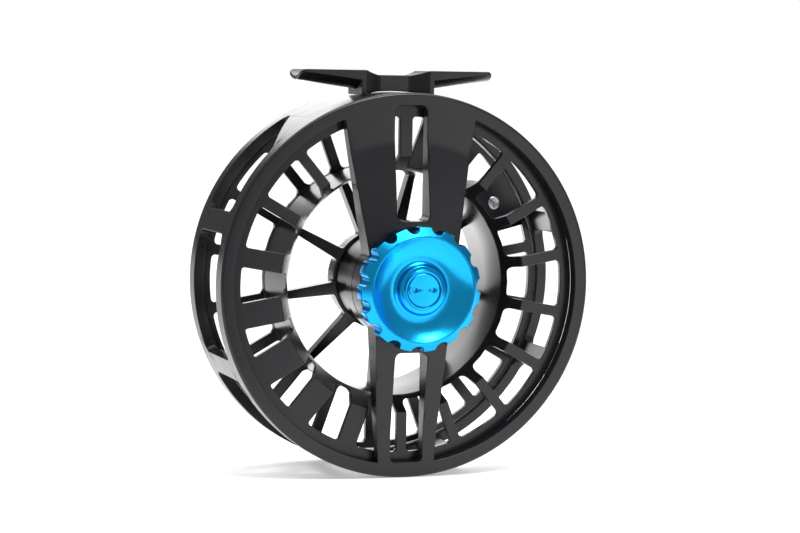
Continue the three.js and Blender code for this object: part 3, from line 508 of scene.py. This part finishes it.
# Two wings and the block between them, cut to the foot's outline. Each wing's underside is a round
# bar that climbs outwards: its slope is the loss of thickness over the wing's length.
def buildFoot(s):
    half, halfWidth, waist = s["length"] / 2, s["width"] / 2, s["waistWidth"] / 2
    rise = (s["rootWall"] - s["tipWall"]) / (half - s["riserHalf"])
    lowest = seatHeight - s["rootWall"] - rise * s["riserHalf"]
    root = frameRadius - s["rootDepth"]

    # a round bar along x whose lowest line is at the given height and climbs by the given slope
    def bar(radius, length, height, slope, side):
        points, faces = cylinder(radius, 0, length, segments=144)
        along, across, up = points[:, 1], points[:, 0], points[:, 2]
        return np.column_stack([side * along, footMiddle + across,
                                height + radius + up + slope * along]), faces

    wing = addPiece("rodFoot", bar(s["undersideRadius"], half + 3 * overshoot, lowest, rise, 1))
    combine(wing, bar(s["undersideRadius"], half + 3 * overshoot, lowest, rise, -1), "UNION")
    combine(wing, slab(-s["riserHalf"], s["riserHalf"], root, seatHeight + overshoot,
                       footMiddle - halfWidth - overshoot, footMiddle + halfWidth + overshoot),
            "UNION")
    right = [[s["waistHalf"], -waist], [s["flareHalf"], -halfWidth], [half, -halfWidth],
             [half, halfWidth], [s["flareHalf"], halfWidth], [s["waistHalf"], waist]]
    corners = np.array(right + [[-x, -y] for x, y in right])
    radii = np.tile([s["waistCorner"], s["flareCorner"], s["tipCorner"],
                     s["tipCorner"], s["flareCorner"], s["waistCorner"]], 2)
    outline = rounded(corners, radii, 8)
    points, faces = prism(outline, root, seatHeight + s["edgeHeight"])
    standing = np.column_stack([points[:, 0], footMiddle + points[:, 2], points[:, 1]])
    combine(wing, (standing, faces), "INTERSECT")
    seat, faces = bar(s["seatRadius"], s["length"] + 4 * overshoot, seatHeight, 0, 1)
    combine(wing, (seat - [half + 2 * overshoot, 0, 0], faces), "DIFFERENCE")
    combine(wing, cylinder(frameRadius + s["gap"], -overshoot, frameWidth + overshoot,
                           segments=240), "DIFFERENCE")
    finish(wing, "frame", materials["satinBlack"], ["reel_foot"], s["bevel"], 3)


buildFoot(footSizes)
print("foot built")

spoolSizes = {
    "rimClearance": 0.3,  # between the flanges and the back ring
    "frontFace": span("spool_front_flange")[0][1],
    "backEnd": span("spool_back_flange")[1][1], "arborRadius": 34.8, "arborWall": 1.8,
    "frontWall": 1.9, "backWall": 2.2,
    "step": 3.2, "stepDepth": 7.2, "stepSetbacks": (1.0, 0.4),  # outwards, and towards the back
    "barCount": 18, "firstBar": 10, "plainBar": 3.2, "backBar": 3.2,
    "wideBars": {90: 4, 150: 3.6, 170: 5.8, 190: 7.6, 210: 9.4, 230: 7.6, 250: 5.8},
    "rimWidth": 3.4, "backRimWidth": 1.8, "portCorner": 1.6, "portStep": 0.2,
    "portDepth": 1.5,  # how far the front ports go past the step
    "padHalfAngle": 10.5, "handleAngle": 30, "studHole": 2.2,
    "spokeCount": 9, "firstSpoke": 30, "spokeRoot": 3.8, "spokeTip": 1.9, "spokeDepth": 4.4,
    "spokeInset": 8.8, "spokeDish": 6.0, "dishEnd": 0.4, "spokeCorner": 2.4,
    "gapInset": 0.8, "arborOverlap": 0.6, "hubOverlap": 0.5, "hubOuter": 14.6, "hubBore": 12.9,
    "hubSetback": 0.2, "keyWidth": 3.5, "keyReach": 13.65, "keyAngles": [0, 120, 240],
    "flare": 0.9, "flareDepth": 13.0, "bevel": 0.2,
}
handlePlace = (np.array(joints["handle_spin"]["pos_m"]) - axisPlace) / millimetre


# One turned solid with both flanges and the arbor, its ports cut out, and the spider joined to it.
# The spokes lean by the depth of their dish over the way from the hub to just short of the arbor.
def buildSpool(s):
    outer = frameRadius - frameSizes["backRingWall"] - s["rimClearance"]
    front, back = s["frontFace"], s["backEnd"]
    arbor, inner = s["arborRadius"], s["arborRadius"] - s["arborWall"]
    stepBack = front + s["stepDepth"]
    backFace = back - s["backWall"]
    # the arbor's inside widens towards the front, by the square of the way to its mouth
    way = np.linspace(0, 1, 12)
    mouth = np.column_stack([inner + s["flare"] * way ** 2,
                             stepBack + s["flareDepth"] * (1 - way)])
    stepOut, stepBehind = s["stepSetbacks"]
    piece = addPiece("spool", lathe([
        *mouth.tolist(), [arbor + s["step"], front], [outer, front],
        [outer, front + s["frontWall"]], [arbor + s["step"] + stepOut, front + s["frontWall"]],
        [arbor, stepBack + stepBehind], [arbor, backFace], [outer, backFace], [outer, back],
        [inner, back],
    ], 240))
    # ports between the bars; the front ones run down the step to the arbor
    pitch = 360 / s["barCount"]
    bars = s["firstBar"] + pitch * np.arange(s["barCount"])

    def wide(angle):
        return s["wideBars"].get(round(angle) % 360, s["plainBar"])

    frontPorts = [prism(portOutline(arbor + s["portStep"], outer - s["rimWidth"],
                                    (angle, angle + pitch), (wide(angle), wide(angle + pitch)),
                                    s["portCorner"]),
                        front - overshoot, stepBack + s["portDepth"])
                  for angle in bars]
    pad, padHalf = s["handleAngle"], s["padHalfAngle"]
    spans = [((angle, angle + pitch), (s["backBar"], s["backBar"])) for angle in bars
             if abs(angle - pad) > pitch]
    spans += [((pad - pitch, pad - padHalf), (s["backBar"], 0)),
              ((pad + padHalf, pad + pitch), (0, s["backBar"]))]
    backPorts = [prism(portOutline(arbor + s["portStep"], outer - s["backRimWidth"],
                                   angles, widths, s["portCorner"]),
                       backFace - overshoot, back + overshoot)
                 for angles, widths in spans]
    combine(piece, together(*frontPorts, *backPorts), "DIFFERENCE")
    # the spider: a dished disc with nine gaps cut through it, on a keyed hub
    hubFront, hubBack = span("spool_spider")[0][1], span("drive_hub")[1][1] - s["hubSetback"]
    face, depth = backFace - s["spokeInset"], s["spokeDepth"]
    reach = inner + s["arborOverlap"]
    root = s["hubOuter"] - s["hubOverlap"]
    lean = s["spokeDish"] / (inner - s["dishEnd"] - s["hubOuter"])
    rootFace, tipFace = (face + lean * (radius - s["hubOuter"]) for radius in (root, reach))
    spider = addPiece("spider", lathe([
        [root, rootFace], [reach, tipFace], [reach, tipFace + depth], [root, rootFace + depth],
    ], 240))
    gapPitch = 360 / s["spokeCount"]
    # a gap's sides follow the spokes' taper: at radius r they stand asin(half width / r) away
    # from the spoke's middle line
    gapRoot, gapTip = s["hubOuter"] + s["gapInset"], reach + overshoot
    rootArc = np.degrees(np.arcsin(s["spokeRoot"] / 2 / gapRoot))
    tipArc = np.degrees(np.arcsin(s["spokeTip"] / 2 / gapTip))
    tipPoints, rootPoints = 7, 5
    gap = np.vstack([onCircle(gapTip, np.linspace(tipArc, gapPitch - tipArc, tipPoints)),
                     onCircle(gapRoot, np.linspace(gapPitch - rootArc, rootArc, rootPoints))])
    radii = np.zeros(len(gap))
    radii[[tipPoints, tipPoints + rootPoints - 1]] = s["spokeCorner"]
    gaps = turnedCopies(prism(rounded(gap, radii, 8), hubFront, hubBack + 6 * overshoot),
                        s["firstSpoke"] + gapPitch * np.arange(s["spokeCount"]))
    combine(spider, gaps, "DIFFERENCE")
    applyTool(piece, spider, "UNION")
    hub = addPiece("spoolHub", lathe([
        [s["hubBore"], hubFront], [s["hubOuter"], hubFront], [s["hubOuter"], hubBack],
        [s["hubBore"], hubBack]], 144))
    applyTool(piece, hub, "UNION")
    halfKey = s["keyWidth"] / 2
    keyways = turnedCopies(slab(s["hubBore"] - 2 * overshoot, s["keyReach"], -halfKey, halfKey,
                                hubFront - overshoot, hubBack + overshoot), s["keyAngles"])
    stud = cylinder(s["studHole"], backFace - overshoot, back + overshoot,
                    (handlePlace[0], handlePlace[2]), 48)
    combine(piece, together(keyways, stud), "DIFFERENCE")
    finish(piece, "spool", materials["satinBlack"],
           ["spool_front_flange", "spool_arbor", "spool_back_flange", "spool_spider"],
           s["bevel"])


buildSpool(spoolSizes)
print("spool built")

knobSizes = {
    "back": span("drag_knob")[1][1], "front": span("drag_knob")[0][1], "radius": 18.3,
    "rimWidth": 2.8, "rimLip": (0.4, 0.2), "chamferDepth": 2.4, "backChamfer": (0.7, 1.9),
    "dishDepth": 3.3, "dishLip": (0.05, 0.1), "bossRadius": 7.0, "bossStep": 1.2,
    "bossStepFront": 0.9, "bossEdge": 1.1, "bossFoot": (0.35, 0.5), "bossSetback": 0.1,
    "capRadius": 5.0, "capThickness": 1.5, "capGap": 0.07, "capFloorGap": 0.15, "capEdge": 0.35,
    "bore": 3.05, "notchCount": 15, "firstNotch": 3.0, "notchRadius": 2.0, "notchDepth": 1.7,
    "groove": (9.4, 12.6), "grooveDepth": 1.4, "spannerHole": 0.7, "spannerSpacing": 5.5,
    "spannerDepth": 1.0, "bevel": 0.22, "capBevel": 0.08,
}


# A turned bowl with a boss in its middle, a pocket for the cap, and round notches about its rim.
# The bowl's floor rises to the rim by the square of the way across.
def buildKnob(s):
    front, back, radius = s["front"], s["back"], s["radius"]
    floor, dish, boss = front + s["dishDepth"], radius - s["rimWidth"], s["bossRadius"]
    capFloor = front + s["capThickness"] + s["capFloorGap"]
    pocket, step = s["capRadius"] + s["capGap"], boss - s["bossStep"]
    across = np.linspace(0, 1, 24)[:, None]
    dishEnd = dish - s["dishLip"][0] - boss - s["bossStep"]
    bowl = [boss + s["bossStep"], floor] + across * [dishEnd, 0] \
        - across ** 2 * [0, s["dishDepth"] - s["dishLip"][1]]
    hollow = np.vstack([[[boss + s["bossFoot"][0], floor - s["bossFoot"][1]]], bowl])
    grooveInner, grooveOuter = s["groove"]
    grooveFloor = back - s["grooveDepth"]
    bossFront = front + s["bossSetback"]
    piece = addPiece("dragKnob", lathe(np.vstack([
        [[s["bore"], back], [s["bore"], capFloor], [pocket, capFloor], [pocket, bossFront],
         [step, bossFront], [step, front + s["bossStepFront"]], [boss, front + s["bossEdge"]]],
        hollow,
        [[dish, front], [dish + s["rimLip"][0], front + s["rimLip"][1]],
         [radius, front + s["chamferDepth"]], [radius, back - s["backChamfer"][1]],
         [radius - s["backChamfer"][0], back], [grooveOuter, back],
         [grooveOuter, grooveFloor], [grooveInner, grooveFloor], [grooveInner, back]]]), 240))
    circle = radius + s["notchRadius"] - s["notchDepth"]
    notch = cylinder(s["notchRadius"], front - overshoot, back + overshoot, (circle, 0), 72)
    angles = s["firstNotch"] + 360 / s["notchCount"] * np.arange(s["notchCount"])
    combine(piece, turnedCopies(notch, angles), "DIFFERENCE")
    finish(piece, "knob", materials["brightBlue"], ["drag_knob"], s["bevel"], 3)
    capBack = front + s["capThickness"]
    cap = addPiece("knobCap", lathe([
        [0, front], [s["capRadius"] - s["capEdge"], front], [s["capRadius"], front + s["capEdge"]],
        [s["capRadius"], capBack], [0, capBack]], 96))
    hole = cylinder(s["spannerHole"], front - overshoot, front + s["spannerDepth"],
                    (s["spannerSpacing"] / 2, 0), 24)
    combine(cap, turnedCopies(hole, [0, 180]), "DIFFERENCE")
    finish(cap, "knob", materials["brightBlue"], ["knob_cap"], s["capBevel"])


buildKnob(knobSizes)
print("drag knob built")


handleSizes = {
    "base": 4.7, "baseRound": (0.5, 0.7), "waist": 4.3, "waistAt": 0.3, "swellAt": 0.68,
    "swellStep": 0.5, "head": 6.2, "headAt": 0.85, "endRound": (0.8, 0.6), "endStep": 1.6,
    "length": 21.0, "bushWall": 0.85, "journal": 2.0, "gap": 0.15, "bevel": 0.25,
    "stud": 2.05, "studChamfer": 0.25, "shoulder": 3.0, "shoulderBack": 1.3,
    "screwHole": 0.95, "screwDepth": 7.0, "studBevel": 0.06,  # waistAt, swellAt: shares of length
}


# A stud and a grip, each a profile turned about the stud's own line.
def buildHandle(s):
    centre = (handlePlace[0], handlePlace[2])
    studFront, studBack = span("handle_stud")[0][1], span("handle_stud")[1][1]
    start, end = span("handle_knob")[0][1], span("handle_knob")[1][1]
    seat = spoolSizes["backEnd"] + s["gap"]
    shoulderEnd = spoolSizes["backEnd"] + s["shoulderBack"]
    stud = addPiece("handleStud", lathe([
        [0, studFront], [s["stud"] - s["studChamfer"], studFront],
        [s["stud"], studFront + s["studChamfer"]], [s["stud"], seat], [s["shoulder"], seat],
        [s["shoulder"], shoulderEnd], [s["journal"], shoulderEnd], [s["journal"], studBack],
        [s["screwHole"], studBack], [s["screwHole"], studBack - s["screwDepth"]],
        [0, studBack - s["screwDepth"]]], 64, centre))
    finish(stud, "spool", materials["turnedSteel"], ["handle_stud"], s["studBevel"])
    shape = smoothLine([[s["base"] - s["baseRound"][0], start],
                        [s["base"], start + s["baseRound"][1]],
                        [s["waist"], start + s["waistAt"] * s["length"]],
                        [s["head"] - s["swellStep"], start + s["swellAt"] * s["length"]],
                        [s["head"], start + s["headAt"] * s["length"]],
                        [s["head"] - s["endRound"][0], end - s["endRound"][1]],
                        [s["head"] - s["endStep"], end]], 12)
    bore = s["journal"] + s["gap"] + s["bushWall"] + s["gap"]
    grip = addPiece("handleKnob", lathe(np.vstack([[[bore, start]], shape, [[bore, end]]]),
                                        96, centre))
    finish(grip, "handle", materials["handlePolymer"], ["handle_knob"],
           s["bevel"])


buildHandle(handleSizes)
print("handle built")

hubCapSizes = {
    "front": span("hub_cap")[0][1], "back": span("hub_cap")[1][1], "spigot": (10.1, 11.2),
    "spigotDepth": 2.2, "rimFront": 2.15, "rimRadius": 12.45, "rimSetback": 0.5,
    "crown": [(11.9, 0), (9.0, 0.25), (6.0, 0.45), (3.4, 0.5)],  # radius, setback from the back
    "bevel": 0.15,
}


# A cap with a thin spigot inside it, whose back is dished along a smooth line.
def buildHubCap(s):
    front, back = s["front"], s["back"]
    floor, (inner, outer) = front + s["spigotDepth"], s["spigot"]
    crown = smoothLine([[radius, back - setback] for radius, setback in s["crown"]], 6)
    cap = addPiece("hubCap", lathe(np.vstack([
        [[0, floor], [inner, floor], [inner, front], [outer, front],
         [outer, front + s["rimFront"]], [s["rimRadius"], front + s["rimFront"]],
         [s["rimRadius"], back - s["rimSetback"]]], crown, [[0, crown[-1][1]]]]), 160))
    finish(cap, "hub", materials["brightBlue"], ["hub_cap"], s["bevel"])


buildHubCap(hubCapSizes)
print("hub cap built")

# The floor ends a little in front of the reel, so that the reel's face doesn't mirror it.
floorLook = {"reach": 6.0, "front": -0.19, "tone": 0.9, "roughness": 0.9, "glow": 0.35}


# One flat square of pale paper at the reel's lowest point.
def buildFloor(s):
    height, reach, front = cadBox[0][2], s["reach"], s["front"]
    mesh = bpy.data.meshes.new("Floor")
    mesh.from_pydata([(-reach, front, height), (reach, front, height), (reach, reach, height),
                      (-reach, reach, height)], [], [(0, 1, 2, 3)])
    paper = bpy.data.materials.new("whitePaper")
    paper.use_nodes = True
    sockets = paper.node_tree.nodes["Principled BSDF"].inputs
    sockets["Base Color"].default_value = (s["tone"], s["tone"], s["tone"], 1)
    sockets["Roughness"].default_value = s["roughness"]
    sockets["Emission Color"].default_value = (1, 1, 1, 1)
    sockets["Emission Strength"].default_value = s["glow"]
    mesh.materials.append(paper)
    floor = bpy.data.objects.new("Floor", mesh)
    bpy.context.scene.collection.objects.link(floor)


buildFloor(floorLook)
print("floor laid")

studio = {"front": 0.54, "back": 0.18, "background": 1.0, "slant": (0, 1, -0.9),
          "slantRange": (-0.9, 0.8)}


# The background is white. What the reel mirrors of the studio is a tent, bright in front and
# overhead and dark behind: its brightness falls evenly as y - 0.9 z of the direction rises.
def buildStudio(s):
    world = bpy.data.worlds.new("Studio")
    world.use_nodes = True
    bpy.context.scene.world = world
    bpy.context.scene.view_settings.view_transform = "Standard"
    nodes, links = world.node_tree.nodes, world.node_tree.links
    background = nodes["Background"]
    background.inputs["Strength"].default_value = s["background"]
    background.inputs["Color"].default_value = (1, 1, 1, 1)
    tent = nodes.new("ShaderNodeBackground")
    direction, slant = nodes.new("ShaderNodeTexCoord"), nodes.new("ShaderNodeVectorMath")
    slant.operation = "DOT_PRODUCT"
    slant.inputs[1].default_value = s["slant"]
    falloff = nodes.new("ShaderNodeMapRange")
    values = {"From Min": s["slantRange"][0], "From Max": s["slantRange"][1],
              "To Min": s["front"], "To Max": s["back"]}
    for socket, value in values.items():
        falloff.inputs[socket].default_value = value
    seen, choice = nodes.new("ShaderNodeLightPath"), nodes.new("ShaderNodeMixShader")
    links.new(direction.outputs["Generated"], slant.inputs[0])
    links.new(slant.outputs["Value"], falloff.inputs["Value"])
    links.new(falloff.outputs["Result"], tent.inputs["Strength"])
    links.new(seen.outputs["Is Camera Ray"], choice.inputs["Fac"])
    links.new(tent.outputs["Background"], choice.inputs[1])
    links.new(background.outputs["Background"], choice.inputs[2])
    links.new(choice.outputs["Shader"], nodes["World Output"].inputs["Surface"])


buildStudio(studio)
target = Vector(axisPlace)


# A softbox: a rectangular light at a place given in metres from the reel's middle, facing a point
# given the same way. Its power is the wanted brightness times pi times its area.
def addSoftbox(name, place, facing, width, height, brightness):
    light = bpy.data.lights.new(name, "AREA")
    light.shape, light.size, light.size_y = "RECTANGLE", width, height
    light.energy = brightness * math.pi * width * height
    lamp = bpy.data.objects.new(name, light)
    lamp.location = target + Vector(place)
    lamp.rotation_euler = (Vector(facing) - Vector(place)).to_track_quat("-Z", "Y").to_euler()
    lamp.visible_camera = False
    bpy.context.scene.collection.objects.link(lamp)


addSoftbox("Back panel", (0.16, 0.20, 0.13), (0.16, 0, 0.13), 0.40, 0.5, 2.5)
addSoftbox("Top softbox", (-0.02, -0.14, 0.8), (0, 0, 0), 0.4, 0.2, 4.0)
addSoftbox("Key light", (0.12, -0.36, 0.68), (0, 0, 0), 0.26, 0.15, 26.0)
addSoftbox("Right softbox", (0.36, -0.85, -0.05), (0, 0, 0), 0.25, 0.5, 1.5)
overhead = bpy.data.lights.new("Overhead light", "SUN")
overhead.energy, overhead.angle = 1.6, math.radians(70)
overheadLamp = bpy.data.objects.new("Overhead light", overhead)
bpy.context.scene.collection.objects.link(overheadLamp)

cameraSettings = {"azimuth": 18.553, "elevation": 4.425, "distance": 0.7087, "roll": -0.907,
                  "lens": 108.07, "sensor": 36, "aimRight": -0.00263, "aimUp": 0.00584}


# The camera stands at the azimuth and elevation, looks at the ring's middle moved by the two aims,
# and is rolled about its line of sight.
def addCamera(s):
    turn, climb = math.radians(s["azimuth"]), math.radians(s["elevation"])
    back = Vector((-math.sin(turn) * math.cos(climb), -math.cos(turn) * math.cos(climb),
                   math.sin(climb)))
    right = (-back).cross(Vector((0, 0, 1))).normalized()
    up = right.cross(-back)
    roll = math.radians(s["roll"])
    rolledRight = right * math.cos(roll) - up * math.sin(roll)
    rolledUp = right * math.sin(roll) + up * math.cos(roll)
    camera = bpy.data.objects.new("Camera", bpy.data.cameras.new("Camera"))
    camera.data.lens, camera.data.sensor_width = s["lens"], s["sensor"]
    place = target + back * s["distance"] + rolledRight * s["aimRight"] + rolledUp * s["aimUp"]
    facing = Matrix((rolledRight, rolledUp, back)).transposed().to_4x4()
    camera.matrix_world = Matrix.Translation(place) @ facing
    bpy.context.scene.collection.objects.link(camera)
    bpy.context.scene.camera = camera


addCamera(cameraSettings)
print("studio, lights and camera set")

print("cad box", [round(v, 4) for c in cadBox for v in c])
